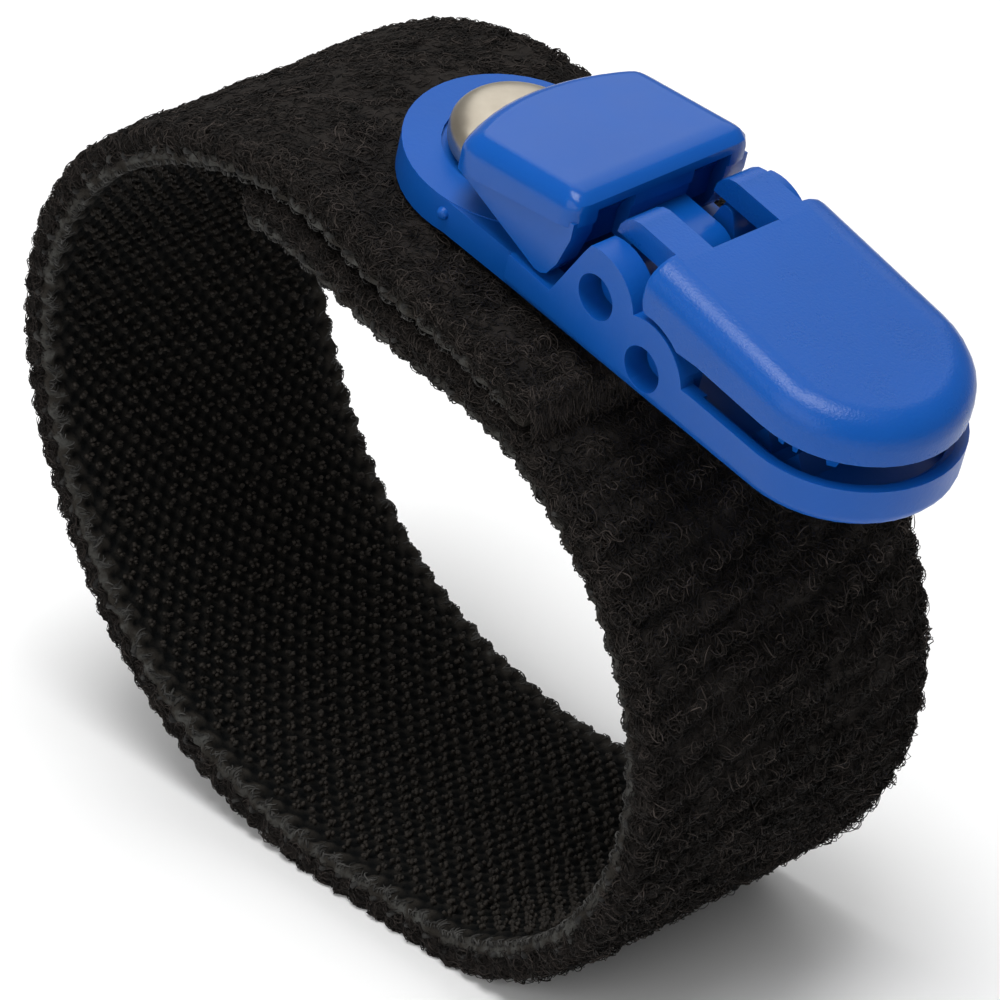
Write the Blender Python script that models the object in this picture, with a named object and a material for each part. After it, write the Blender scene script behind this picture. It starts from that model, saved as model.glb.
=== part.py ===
"""ESD wrist strap: a hook-and-loop band closed in a loop, with a lever-action clip held on by a snap.

The band is a back-to-back web, with loop pile outside and hooks inside. It makes one turn and a bit more, and
its two ends overlap under the clip. Y is the axis of the band, X runs along the clip, and the
loop stands on its lowest point at Z = 0, with the origin in the middle of that flat patch.
The clip is drawn in its own frame: origin at the middle of the eyelet disc's top face, X towards
the nose, Z away from the band.
"""
import math

import bmesh
import bpy
from mathutils import Vector

MM = 0.001
GAP = 0.3 * MM

# Band: the middle line of one layer is a rounded loop, written as radius against angle.
BAND_WIDTH = 25.4 * MM
PILE_WEB = 1.2 * MM
HOOK_WEB = 0.9 * MM
LAYER = PILE_WEB + GAP + HOOK_WEB
HOOK_FACE = 1.15 * MM
LOOP_RADIUS = 29.45 * MM
LOOP_WAVES = ((2, 3.31 * MM, -19.5), (3, 0.58 * MM, -5.3), (5, 0.27 * MM, 14.7))
INNER_END = 107.0
TAIL_END = 43.5
OVERLAP_DIP = 3.35 * MM
SNAP_ROOM = 0.6 * MM
LAYER_PITCH = LAYER + 0.42 * MM
BAND_STEP = 4.0
CONTACT_X = 6.2 * MM
FLOOR = -27.4 * MM

# Clip: place on the band, and main sizes.
CLIP_AT = Vector((6.3 * MM, 0.0, 29.9 * MM))
CLIP_SLOPE = 15.05
HALF = 8.0 * MM
DISC_BOTTOM = -2.75 * MM
NECK_HALF = (7.9 * MM, 7.3 * MM)
WALL_TOPS = ((8.3, 0.25), (12.5, 0.25), (26.0, 1.65), (32.5, 1.85), (41.5, 2.4))
BODY_START = 8.3 * MM
NOSE_CENTRE = 32.65 * MM
BODY_UNDER = (-2.75 * MM, 0.055)
WALL = 1.15 * MM
RIM = 0.75 * MM
RIM_STEP = 0.35 * MM
UNDER_EDGE = 1.1 * MM
FLOOR_THICK = 0.85 * MM
EAR_INSIDE = 5.9 * MM
LEVER_PIVOT = Vector((16.42 * MM, 0.0, 2.72 * MM))
JAW_PIVOT = Vector((21.65 * MM, 0.0, 0.52 * MM))
LOBE_1 = 3.65 * MM
LOBE_2 = 3.75 * MM
HOLE = 1.65 * MM
TRUNNION = 1.32 * MM
TRUNNION_END = 6.3 * MM
INSIDE = EAR_INSIDE - GAP

# Jaw
JAW_TOP = 8.2 * MM
JAW_SLOPE = -0.055
JAW_EDGE = 2.3 * MM
JAW_DROP = 1.9 * MM
JAW_CORNER = 0.4 * MM
JAW_BACK = 20.1 * MM
SLOT_BACK = 20.8 * MM
JAW_NOSE_CENTRE = 32.25 * MM
SKIRT = 4.15 * MM
SKIRT_SLOPE = 0.0
SHELL = 1.5 * MM
SLOT_HALF = 2.93 * MM
ARM_END = 14.9 * MM
ARM_UNDER = 6.25 * MM
CHEEK_INSIDE = 4.3 * MM
CHEEK = 1.35 * MM
RIM_TEETH = ((81.0, 0.55, 2.85), (72.0, 0.45, 2.8), (51.0, 0.85, 2.8), (37.0, 0.4, 3.2), (0.0, 1.45, 2.85))

# Lever
PAD_BACK = 2.0 * MM
PAD_BULGE = 2.3 * MM
PAD_REAR = 13.2 * MM
PAD_TOP = (5.42 * MM, 0.222)
PAD_LIP = (2.29 * MM, 0.27)
PAD_ROOF = 1.3 * MM
PAD_EDGE = 1.4 * MM
PAD_CORNER = 1.5 * MM
PAD_SKIRT = 4.9 * MM
REAR_SOFT = 1.6
WEB_OUTSIDE = 7.75 * MM
WEB_THICK = WEB_OUTSIDE - EAR_INSIDE
HUB = 1.95 * MM
HUB_HALF = 2.6 * MM
CAM_HUB = 1.6 * MM
CAM_TIP = 0.7 * MM
CAM_REACH = 2.5 * MM
CAP_ROOM = (5.45 * MM, 3.2 * MM)
CAM_INSIDE = 2.95 * MM

# Snap
SHANK = 1.9 * MM
SHANK_HOLE = 2.25 * MM
RECESS = 5.3 * MM
RECESS_DEPTH = 0.3 * MM
BACKING_RADIUS = 4.6 * MM
BACKING_THICK = 0.35 * MM
BACKING_POCKET = 5.2 * MM
ROUND = 32


def clear_scene():
    for item in list(bpy.data.objects):
        bpy.data.objects.remove(item, do_unlink=True)


def smooth_step(low, high, value):
    t = min(max((value - low) / (high - low), 0.0), 1.0)
    return t * t * (3.0 - 2.0 * t)


def finish(name, mesh_data, material=None, origin=None):
    """Make one object from a bmesh, with its origin at a point of the frame it is drawn in."""
    bmesh.ops.recalc_face_normals(mesh_data, faces=mesh_data.faces)
    mesh = bpy.data.meshes.new(name)
    if origin is not None:
        bmesh.ops.translate(mesh_data, verts=mesh_data.verts, vec=-origin)
    mesh_data.to_mesh(mesh)
    mesh_data.free()
    item = bpy.data.objects.new(name, mesh)
    bpy.context.collection.objects.link(item)
    if origin is not None:
        item.location = origin
    if material:
        mesh.materials.append(material)
        mesh.shade_smooth()
        mesh.set_sharp_from_angle(angle=math.radians(32))
    return item


def prism(outline, axis, low, high):
    """Extrude a closed outline along Y (outline in X and Z) or along Z (outline in X and Y)."""
    mesh_data = bmesh.new()
    rings = []
    for level in (low, high):
        if axis == "Y":
            rings.append([mesh_data.verts.new((a, level, b)) for a, b in outline])
        else:
            rings.append([mesh_data.verts.new((a, b, level)) for a, b in outline])
    mesh_data.faces.new(rings[0])
    mesh_data.faces.new(list(reversed(rings[1])))
    count = len(outline)
    for i in range(count):
        j = (i + 1) % count
        mesh_data.faces.new((rings[0][i], rings[1][i], rings[1][j], rings[0][j]))
    return mesh_data


def hull(points):
    """The convex solid around a set of points."""
    mesh_data = bmesh.new()
    for point in points:
        mesh_data.verts.new(point)
    result = bmesh.ops.convex_hull(mesh_data, input=mesh_data.verts)
    spare = {item for item in result["geom_interior"] if isinstance(item, bmesh.types.BMVert)}
    bmesh.ops.delete(mesh_data, geom=list(spare), context="VERTS")
    return mesh_data


def turned(profile, steps=ROUND):
    """Turn a profile of (radius, height) points round the Z axis, from the top to the bottom."""
    mesh_data = bmesh.new()
    rings = []
    for radius, height in profile:
        if radius == 0.0:
            rings.append([mesh_data.verts.new((0.0, 0.0, height))])
            continue
        points = arc((0.0, 0.0), radius, 0, 360 - 360 / steps, steps - 1)
        rings.append([mesh_data.verts.new((x, y, height)) for x, y in points])
    for upper, lower in zip(rings, rings[1:]):
        for i in range(steps):
            j = (i + 1) % steps
            corners = [upper[i % len(upper)], lower[i % len(lower)]]
            corners += [lower[j % len(lower)], upper[j % len(upper)]]
            unique = [v for k, v in enumerate(corners) if v not in corners[:k]]
            mesh_data.faces.new(unique)
    return mesh_data


def ring_solid(profile, steps=ROUND):
    """Turn a closed profile that doesn't touch the axis, such as a washer's section."""
    mesh_data = bmesh.new()
    rings = []
    for i in range(steps):
        a = 2.0 * math.pi * i / steps
        rings.append([mesh_data.verts.new((r * math.cos(a), r * math.sin(a), z)) for r, z in profile])
    count = len(profile)
    for i in range(steps):
        here, there = rings[i], rings[(i + 1) % steps]
        for k in range(count):
            m = (k + 1) % count
            mesh_data.faces.new((here[k], here[m], there[m], there[k]))
    return mesh_data


def arc(centre, radius, start, end, steps):
    """Points on an arc, from one angle to another in degrees."""
    points = []
    for i in range(steps + 1):
        a = math.radians(start + (end - start) * i / steps)
        points.append((centre[0] + radius * math.cos(a), centre[1] + radius * math.sin(a)))
    return points


def fillet(points, corners, radius, steps=3):
    """Round the named corners of an outline; the other points stay."""
    result = []
    for i, point in enumerate(points):
        if i not in corners:
            result.append(point)
            continue
        here = Vector(point)
        before = Vector(points[i - 1]) - here
        after = Vector(points[(i + 1) % len(points)]) - here
        start = here + before.normalized() * min(radius, 0.45 * before.length)
        end = here + after.normalized() * min(radius, 0.45 * after.length)
        for k in range(steps + 1):
            t = k / steps
            result.append(tuple(start * (1 - t) ** 2 + here * (2 * t * (1 - t)) + end * t ** 2))
    return result


def stacked(rings_in):
    """A solid from outlines of equal length, each with a function that gives its height at x."""
    mesh_data = bmesh.new()
    rings = []
    for outline, height in rings_in:
        rings.append([mesh_data.verts.new((x, y, height(x))) for x, y in outline])
    mesh_data.faces.new(list(reversed(rings[0])))
    mesh_data.faces.new(rings[-1])
    count = len(rings[0])
    for lower, upper in zip(rings, rings[1:]):
        for i in range(count):
            j = (i + 1) % count
            mesh_data.faces.new((lower[i], lower[j], upper[j], upper[i]))
    return mesh_data


def cutter(name, mesh_data):
    item = finish(name, mesh_data)
    item.hide_render = True
    item.display_type = "WIRE"
    return item


def combine(item, tool, operation):
    """Join, cut or intersect an object with a hidden tool."""
    modifier = item.modifiers.new(tool.name, "BOOLEAN")
    modifier.operation = operation
    modifier.solver = "EXACT"
    modifier.object = tool
    return modifier


def rod(name, pivot, radius, low, high, steps=24):
    """A round tool along Y."""
    outline = arc((pivot.x, pivot.z), radius, 0, 360 - 360 / steps, steps - 1)
    return cutter(name, prism(outline, "Y", low, high))


def material(name, colour, roughness, metallic=0.0):
    result = bpy.data.materials.new(name)
    result.use_nodes = True
    shader = result.node_tree.nodes["Principled BSDF"]
    shader.inputs["Base Color"].default_value = (*colour, 1.0)
    shader.inputs["Roughness"].default_value = roughness
    shader.inputs["Metallic"].default_value = metallic
    return result


# ---------------------------------------------------------------- band

def loop_radius(angle):
    waves = (size * math.cos(math.radians(order * (angle - peak))) for order, size, peak in LOOP_WAVES)
    return LOOP_RADIUS + sum(waves)


def layer_shift(angle, turn):
    """How far a layer lies from the single-layer line: the overlapped ends part round each other."""
    dip = -OVERLAP_DIP * smooth_step(40.0, 82.0, angle)
    if turn == 0:
        return dip - SNAP_ROOM * (smooth_step(38.0, 62.0, angle) - smooth_step(88.0, 105.0, angle))
    rise = OVERLAP_DIP - LAYER_PITCH
    return dip + LAYER_PITCH + rise * smooth_step(70.0, 100.0, angle)


def middle_line(travel):
    """A point of the middle line, travel degrees clockwise from the inner end."""
    angle = INNER_END - travel
    shift = 0.0
    if travel < 90.0:
        shift = layer_shift(angle, 0)
    elif travel > 330.0:
        shift = layer_shift(angle + 360.0, 1)
    radius = loop_radius(angle) + shift
    turn = math.radians(angle)
    return Vector((radius * math.cos(turn), 0.0, radius * math.sin(turn)))


def band_point(travel, height):
    """A point of the band's section: height is measured outwards from the hook face."""
    before = middle_line(travel - 0.5)
    after = middle_line(travel + 0.5)
    along = (after - before).normalized()
    outward = Vector((-along.z, 0.0, along.x))
    point = middle_line(travel) + outward * (height - HOOK_FACE)
    point.z = max(point.z, FLOOR + LAYER - height)
    return point.x - CONTACT_X, point.z - FLOOR


def band_web(name, low, high, finish_material):
    """One web of the band: a strip between two heights that follows the whole spiral."""
    length = INNER_END - TAIL_END + 360.0
    count = round(length / BAND_STEP)
    travels = [length * i / count for i in range(count + 1)]
    inside = [band_point(travel, low) for travel in travels]
    outside = [band_point(travel, high) for travel in travels]
    outline = inside + list(reversed(outside))
    mesh_data = bmesh.new()
    front = [mesh_data.verts.new((x, -BAND_WIDTH / 2, z)) for x, z in outline]
    back = [mesh_data.verts.new((x, BAND_WIDTH / 2, z)) for x, z in outline]
    total = len(outline)
    for i in range(total):
        j = (i + 1) % total
        mesh_data.faces.new((front[i], front[j], back[j], back[i]))
    for i in range(count):
        opposite = total - 1 - i
        for side in (front, back):
            mesh_data.faces.new((side[i], side[i + 1], side[opposite - 1], side[opposite]))
    return finish(name, mesh_data, finish_material)


# ---------------------------------------------------------------- clip base

def underside(x):
    height, slope = BODY_UNDER
    return height + slope * (x - BODY_START)


def wall_top(x):
    for (x0, z0), (x1, z1) in zip(WALL_TOPS, WALL_TOPS[1:]):
        if x <= x1 * MM:
            return (z0 + (z1 - z0) * (x / MM - x0) / (x1 - x0)) * MM
    return WALL_TOPS[-1][1] * MM


def nose_outline(start, half, centre, steps=20):
    """Plan of a tongue with a round nose."""
    return [(start, -half)] + arc((centre, 0.0), half, -90, 90, steps) + [(start, half)]


def ear_outline():
    """Side view of one ear: a slanted flank, then a lobe round each pivot."""
    ax, az = LEVER_PIVOT.x, LEVER_PIVOT.z
    bx, bz = JAW_PIVOT.x, JAW_PIVOT.z
    flank = arc((ax, az), LOBE_1, 112, 112, 1)[:1]
    apart = math.hypot(bx - ax, bz - az)
    along = (apart * apart + LOBE_1 ** 2 - LOBE_2 ** 2) / (2.0 * apart)
    across = math.sqrt(LOBE_1 ** 2 - along ** 2)
    ux, uz = (bx - ax) / apart, (bz - az) / apart
    valley = (ax + along * ux - across * uz, az + along * uz + across * ux)
    start_1 = math.degrees(math.atan2(valley[1] - az, valley[0] - ax))
    start_2 = math.degrees(math.atan2(valley[1] - bz, valley[0] - bx))
    outline = [(12.0 * MM, -0.1 * MM), (12.1 * MM, 0.2 * MM), (12.45 * MM, 0.3 * MM), (14.6 * MM, 5.2 * MM)]
    outline += flank + arc((ax, az), LOBE_1, 106, start_1, 10)
    outline += arc((bx, bz), LOBE_2, start_2 - 6, 10, 12)
    outline += [(25.4 * MM, -0.1 * MM)]
    return outline


def base_body(finish_material):
    """The tongue with rounded lower edges, the eyelet disc and the neck between them."""
    low = underside(BODY_START) - 2 * MM
    side = [(BODY_START, low), (41.5 * MM, low)]
    side += [(x * MM, z * MM) for x, z in reversed(WALL_TOPS)]
    body = finish("clip_base", prism(side, "Y", -HALF * 1.5, HALF * 1.5), finish_material, Vector((0, 0, 0)))
    levels = []
    for step in range(5):
        a = math.radians(90.0 * step / 4)
        rise = UNDER_EDGE * (1.0 - math.cos(a))
        plan = nose_outline(BODY_START - 2 * MM, HALF - UNDER_EDGE * (1.0 - math.sin(a)), NOSE_CENTRE, 24)
        levels.append((plan, lambda x, up=rise: underside(x) + up))
    levels.append((plan, lambda x: 6 * MM))
    combine(body, cutter("base_plan", stacked(levels)), "INTERSECT")
    disc = arc((0.0, 0.0), HALF, 0, 352.5, 47)
    combine(body, cutter("base_disc", prism(disc, "Z", DISC_BOTTOM, 0.0)), "UNION")
    wide, narrow = NECK_HALF
    neck = [(0.6 * MM, -wide), (10.0 * MM, -narrow), (10.0 * MM, narrow), (0.6 * MM, wide)]
    combine(body, cutter("base_neck", prism(neck, "Z", DISC_BOTTOM + 0.05 * MM, -0.1 * MM)), "UNION")
    return body


def add_ears(body):
    """Two ears, the pocket between them, and the two pairs of pivot holes."""
    for sign in (-1, 1):
        low, high = sorted((sign * (EAR_INSIDE - 0.5 * MM), sign * HALF))
        combine(body, cutter(f"ear_{sign + 1}", prism(ear_outline(), "Y", low, high)), "UNION")
    pocket = [(x, underside(x) + FLOOR_THICK) for x in (10.4 * MM, 30.0 * MM)]
    pocket += [(30.0 * MM, 12 * MM), (10.4 * MM, 12 * MM)]
    combine(body, cutter("ear_pocket", prism(pocket, "Y", -EAR_INSIDE, EAR_INSIDE)), "DIFFERENCE")
    for name, pivot in (("lever_hole", LEVER_PIVOT), ("jaw_hole", JAW_PIVOT)):
        combine(body, rod(name, pivot, HOLE, -12 * MM, 12 * MM), "DIFFERENCE")


def cut_tray(body):
    """The hollow of the nose: a flat rim, a fine step inside it, and two ridges on the floor."""
    rim = nose_outline(26.6 * MM, HALF - RIM, NOSE_CENTRE, 20)
    levels = [(rim, lambda x: wall_top(x) - RIM_STEP), (rim, lambda x: 8 * MM)]
    combine(body, cutter("rim_step", stacked(levels)), "DIFFERENCE")
    tray = nose_outline(25.0 * MM, HALF - WALL, NOSE_CENTRE, 16)
    combine(body, cutter("tray", prism(tray, "Z", -0.35 * MM, 8 * MM)), "DIFFERENCE")
    for x in (29.5 * MM, 32.5 * MM):
        tooth = [(x, -0.8 * MM), (x + 2.0 * MM, -0.8 * MM), (x + 2.0 * MM, -0.3 * MM)]
        tooth += [(x + 1.0 * MM, 1.2 * MM), (x, -0.3 * MM)]
        combine(body, cutter(f"tray_tooth_{round(x / MM)}", prism(tooth, "Y", -5.0 * MM, 5.0 * MM)), "UNION")


def clip_base(finish_material):
    body = base_body(finish_material)
    add_ears(body)
    cut_tray(body)
    eyelet = arc((0.0, 0.0), SHANK_HOLE, 0, 345, 23)
    combine(body, cutter("eyelet", prism(eyelet, "Z", -5 * MM, 5 * MM)), "DIFFERENCE")
    recess = arc((0.0, 0.0), RECESS, 0, 348.75, 31)
    combine(body, cutter("cap_recess", prism(recess, "Z", -RECESS_DEPTH, 5 * MM)), "DIFFERENCE")
    return body


# ---------------------------------------------------------------- clip jaw

def jaw_top(x):
    return JAW_TOP + JAW_SLOPE * max(x - SLOT_BACK, 0.0)


def skirt_edge(x):
    return SKIRT + SKIRT_SLOPE * (x - 26.0 * MM)


def jaw_levels():
    """Plan outlines that shrink towards the top face, for a rounded rim."""
    levels = []
    for step in range(6):
        a = math.radians(90.0 * step / 5)
        inset = JAW_EDGE * (1.0 - math.cos(a))
        drop = JAW_DROP * (1.0 - math.sin(a))
        plan = nose_outline(JAW_BACK, HALF - inset, JAW_NOSE_CENTRE, 20)
        plan = fillet(plan, (0, len(plan) - 1), JAW_CORNER)
        if not levels:
            levels.append((plan, lambda x: 0.0))
        levels.append((plan, lambda x, down=drop: jaw_top(x) - down))
    return levels


def jaw_shell(finish_material):
    """The hollow jaw plate with its skirt, cut clear of the ears."""
    jaw = finish("clip_jaw", stacked(jaw_levels()), finish_material, JAW_PIVOT)
    trim = [(JAW_BACK - 2 * MM, 12 * MM), (45 * MM, 12 * MM), (45 * MM, skirt_edge(45 * MM))]
    trim += [(26.0 * MM, SKIRT)]
    trim += arc((JAW_PIVOT.x, JAW_PIVOT.z), LOBE_2 + 0.45 * MM, 54, 100, 5) + [(JAW_BACK - 2 * MM, 5.6 * MM)]
    combine(jaw, cutter("jaw_side", prism(trim, "Y", -12 * MM, 12 * MM)), "INTERSECT")
    hollow = nose_outline(JAW_BACK + 1.6 * MM, HALF - SHELL, JAW_NOSE_CENTRE, 16)
    narrow = nose_outline(JAW_BACK + 1.6 * MM, HALF - SHELL - 1.0 * MM, JAW_NOSE_CENTRE, 16)
    levels = [(hollow, lambda x: 0.0), (hollow, lambda x: jaw_top(x) - JAW_DROP - 0.3 * MM)]
    levels.append((narrow, lambda x: jaw_top(x) - SHELL))
    combine(jaw, cutter("jaw_hollow", stacked(levels)), "DIFFERENCE")
    swing = arc((16.85 * MM, 3.6 * MM), LOBE_1 + 0.3 * MM, 0, 345, 23)
    for sign in (-1, 1):
        low, high = sorted((sign * (EAR_INSIDE - GAP), sign * HALF * 1.5))
        combine(jaw, cutter(f"ear_swing_{sign + 1}", prism(swing, "Y", low, high)), "DIFFERENCE")
    slot = [(JAW_BACK - 1 * MM, -INSIDE), (SLOT_BACK, -INSIDE)]
    slot += [(SLOT_BACK, INSIDE), (JAW_BACK - 1 * MM, INSIDE)]
    combine(jaw, cutter("slot_back", prism(slot, "Z", 0.0, 12 * MM)), "DIFFERENCE")
    return jaw


def jaw_side_parts(jaw, sign):
    """On one side: the arm over the cam, the cheek down to the pivot, and the trunnion."""
    low, high = sorted((sign * SLOT_HALF, sign * INSIDE))
    root = SLOT_BACK + 2.4 * MM
    arm = [(root, ARM_UNDER), (root, JAW_TOP - 0.3 * MM), (SLOT_BACK, JAW_TOP)]
    arm += [(ARM_END + 1.9 * MM, JAW_TOP)]
    arm += arc((ARM_END + 1.9 * MM, JAW_TOP - 1.9 * MM), 1.9 * MM, 75, 180, 5)
    arm += [(ARM_END, ARM_UNDER)]
    combine(jaw, cutter(f"arm_{sign + 1}", prism(arm, "Y", low, high)), "UNION")
    low, high = sorted((sign * CHEEK_INSIDE, sign * INSIDE))
    cheek = arc((JAW_PIVOT.x, JAW_PIVOT.z), CHEEK, 180, 360, 8)
    cheek += [(JAW_PIVOT.x + CHEEK, 6.9 * MM), (JAW_PIVOT.x - CHEEK + 0.3 * MM, 6.9 * MM)]
    combine(jaw, cutter(f"cheek_{sign + 1}", prism(cheek, "Y", low, high)), "UNION")
    low, high = sorted((sign * (CHEEK_INSIDE + 0.3 * MM), sign * TRUNNION_END))
    combine(jaw, rod(f"jaw_trunnion_{sign + 1}", JAW_PIVOT, TRUNNION, low, high, 20), "UNION")


def rim_tooth(jaw, angle, half, tip):
    """One pointed tooth under the rim of the jaw's nose, at an angle round the nose."""
    a = math.radians(angle)
    points = []
    for radius, offset, z in ((6.1, half, 4.9), (7.3, half, 4.9), (6.9, 0.35 * half, tip)):
        for side in (-offset, offset):
            x = JAW_NOSE_CENTRE + (radius * math.cos(a) - side * math.sin(a)) * MM
            y = (radius * math.sin(a) + side * math.cos(a)) * MM
            points.append((x, y, z * MM))
    combine(jaw, cutter(f"rim_tooth_{round(angle)}", hull(points)), "UNION")


def clip_jaw(finish_material):
    jaw = jaw_shell(finish_material)
    for sign in (-1, 1):
        jaw_side_parts(jaw, sign)
    for x in (29.6 * MM, 32.4 * MM):
        tooth = [(x, 7.0 * MM), (x + 2.2 * MM, 7.0 * MM), (x + 1.6 * MM, 2.6 * MM), (x + 0.6 * MM, 2.6 * MM)]
        combine(jaw, cutter(f"jaw_tooth_{round(x / MM)}", prism(tooth, "Y", -4.4 * MM, 4.4 * MM)), "UNION")
    for angle, half, tip in RIM_TEETH:
        rim_tooth(jaw, angle, half, tip)
        if angle:
            rim_tooth(jaw, -angle, half, tip)
    return jaw


# ---------------------------------------------------------------- clip lever

def pad_top(x):
    return PAD_TOP[0] + PAD_TOP[1] * x


def pad_lip(x):
    return PAD_LIP[0] + PAD_LIP[1] * x


def pad_outline(inset):
    """Plan of the thumb pad: straight sides and rear, with a bowed free end."""
    half = HALF - inset
    bow = (HALF * HALF + PAD_BULGE * PAD_BULGE) / (2.0 * PAD_BULGE)
    centre = PAD_BACK - PAD_BULGE + bow
    radius = bow - inset
    swing = math.degrees(math.asin(half / radius))
    rear = PAD_REAR - REAR_SOFT * inset
    points = arc((centre, 0.0), radius, 180 - swing, 180 + swing, 12)
    outline = points + [(rear, -half), (rear, half)]
    corners = (0, 12, 13, 14)
    return fillet(outline, corners, max(PAD_CORNER - inset, 0.3 * MM))


def thumb_pad(finish_material):
    """The hollow thumb pad, with a solid block across its rear."""
    levels = [(pad_outline(0.0), pad_lip)]
    for step in range(5):
        a = math.radians(90.0 * step / 4)
        inset = PAD_EDGE * (1.0 - math.cos(a))
        drop = PAD_EDGE * (1.0 - math.sin(a))
        levels.append((pad_outline(inset), lambda x, down=drop: pad_top(x) - down))
    lever = finish("clip_lever", stacked(levels), finish_material, LEVER_PIVOT)
    inner = pad_outline(PAD_EDGE)
    levels = [(inner, lambda x: 0.0), (inner, lambda x: pad_top(x) - PAD_ROOF)]
    combine(lever, cutter("pad_hollow", stacked(levels)), "DIFFERENCE")
    fill = [(9.4 * MM, 3.0 * MM), (12.3 * MM, 2.6 * MM), (13.0 * MM, PAD_SKIRT), (13.0 * MM, 6.9 * MM)]
    fill += [(9.4 * MM, 6.3 * MM)]
    combine(lever, cutter("rear_block", prism(fill, "Y", -6.6 * MM, 6.6 * MM)), "UNION")
    radius, height = CAP_ROOM
    room = prism(arc((0.0, 0.0), radius, 0, 348.75, 31), "Z", 0.0, height)
    combine(lever, cutter("cap_room", room), "DIFFERENCE")
    return lever


def add_hub(lever):
    """The middle arm down to the pivot, and the trunnion through it."""
    hub = arc((LEVER_PIVOT.x, LEVER_PIVOT.z), HUB, 0, 345, 23)
    neck = hub + [(11.0 * MM, 3.2 * MM), (12.3 * MM, 2.7 * MM), (13.0 * MM, 4.4 * MM), (11.0 * MM, 4.6 * MM)]
    points = [(x, y, z) for x, z in neck for y in (-HUB_HALF, HUB_HALF)]
    combine(lever, cutter("lever_neck", hull(points)), "UNION")
    combine(lever, rod("lever_trunnion", LEVER_PIVOT, TRUNNION, -TRUNNION_END, TRUNNION_END, 20), "UNION")


def lever_side_parts(lever, sign):
    """On one side: the cam under the jaw's arm, the triangular web, and the room for the arm."""
    x0, z0 = LEVER_PIVOT.x, LEVER_PIVOT.z
    cam = arc((x0, z0), CAM_HUB, 0, 340, 17) + arc((x0, z0 + CAM_REACH), CAM_TIP, 0, 330, 11)
    points = [(x, y, z) for x, z in cam for y in (sign * CAM_INSIDE, sign * INSIDE)]
    combine(lever, cutter(f"cam_{sign + 1}", hull(points)), "UNION")
    low, high = sorted((sign * (WEB_OUTSIDE - WEB_THICK), sign * WEB_OUTSIDE))
    web = [(2.2 * MM, pad_lip(2.2 * MM)), (9.8 * MM, 0.78 * MM), (10.5 * MM, 0.6 * MM)]
    web += [(11.1 * MM, 0.66 * MM), (11.6 * MM, 1.0 * MM), (12.3 * MM, 2.3 * MM)]
    web += [(13.0 * MM, PAD_SKIRT), (13.0 * MM, 6.2 * MM), (9.0 * MM, 5.6 * MM), (4.0 * MM, 4.4 * MM)]
    combine(lever, cutter(f"side_web_{sign + 1}", prism(web, "Y", low, high)), "UNION")
    low, high = sorted((sign * HUB_HALF, sign * EAR_INSIDE))
    relief = [(14.5 * MM, 2.0 * MM), (14.5 * MM, 6.9 * MM), (13.1 * MM, 6.9 * MM), (12.5 * MM, 6.0 * MM)]
    relief += [(12.2 * MM, 5.5 * MM), (11.9 * MM, 4.7 * MM), (11.85 * MM, 2.0 * MM)]
    combine(lever, cutter(f"arm_relief_{sign + 1}", prism(relief, "Y", low, high)), "DIFFERENCE")


def clip_lever(finish_material):
    lever = thumb_pad(finish_material)
    add_hub(lever)
    for sign in (-1, 1):
        lever_side_parts(lever, sign)
    return lever


# ---------------------------------------------------------------- snap

def snap_cap(finish_material):
    profile = [(0.0, 2.85), (1.6, 2.82), (3.0, 2.7), (3.9, 2.5), (4.5, 2.2), (4.85, 1.8), (5.0, 1.35)]
    profile += [(5.0, 0.6), (4.85, 0.2), (4.5, 0.03), (4.2, 0.0), (0.0, 0.0)]
    scaled = [(radius * MM, height * MM) for radius, height in profile]
    return finish("snap_cap", turned(scaled), finish_material, Vector((0, 0, 0)))


def snap_rivet(finish_material, depth):
    flange = 3.1 * MM
    top = -RECESS_DEPTH
    profile = [(0.0, top), (SHANK, top), (SHANK, depth + 0.3 * MM), (flange, depth + 0.3 * MM)]
    profile += [(flange, depth + 0.05 * MM), (flange - 0.3 * MM, depth), (0.0, depth)]
    return finish("snap_rivet", turned(profile, 24), finish_material, Vector((0, 0, 0)))


def snap_backing(finish_material, top):
    low = top - BACKING_THICK
    profile = [(SHANK_HOLE, top), (BACKING_RADIUS, top), (BACKING_RADIUS, low), (SHANK_HOLE, low)]
    return finish("snap_backing", ring_solid(profile, 24), finish_material, Vector((0, 0, 0)))


def build():
    clear_scene()
    pile = material("loop_pile", (0.022, 0.020, 0.019), 0.95)
    hooks = material("hook_web", (0.012, 0.012, 0.012), 0.8)
    blue = material("blue_plastic", (0.03, 0.13, 0.45), 0.4)
    nickel = material("nickel_plate", (0.68, 0.62, 0.52), 0.3, 1.0)
    hook_web = band_web("strap_hook_web", 0.0, HOOK_WEB, hooks)
    pile_web = band_web("strap_pile_web", HOOK_WEB + GAP, LAYER, pile)
    frame = bpy.data.objects.new("clip_frame", None)
    bpy.context.collection.objects.link(frame)
    frame.location = CLIP_AT - Vector((CONTACT_X, 0.0, FLOOR))
    frame.rotation_euler = (0.0, math.radians(CLIP_SLOPE), 0.0)
    before = set(bpy.context.collection.objects)
    clip_base(blue)
    clip_jaw(blue)
    clip_lever(blue)
    snap_cap(nickel)
    snap_rivet(nickel, -6.05 * MM)
    snap_backing(nickel, -5.05 * MM)
    hole = cutter("shank_hole", prism(arc((0.0, 0.0), SHANK_HOLE, 0, 345, 23), "Z", -5.6 * MM, 2 * MM))
    room = arc((0.0, 0.0), BACKING_POCKET, 0, 345, 23)
    pocket = cutter("backing_pocket", prism(room, "Z", -6.3 * MM, -4.4 * MM))
    for item in set(bpy.context.collection.objects) - before:
        item.parent = frame
    combine(pile_web, hole, "DIFFERENCE")
    combine(hook_web, pocket, "DIFFERENCE")


build()
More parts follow.
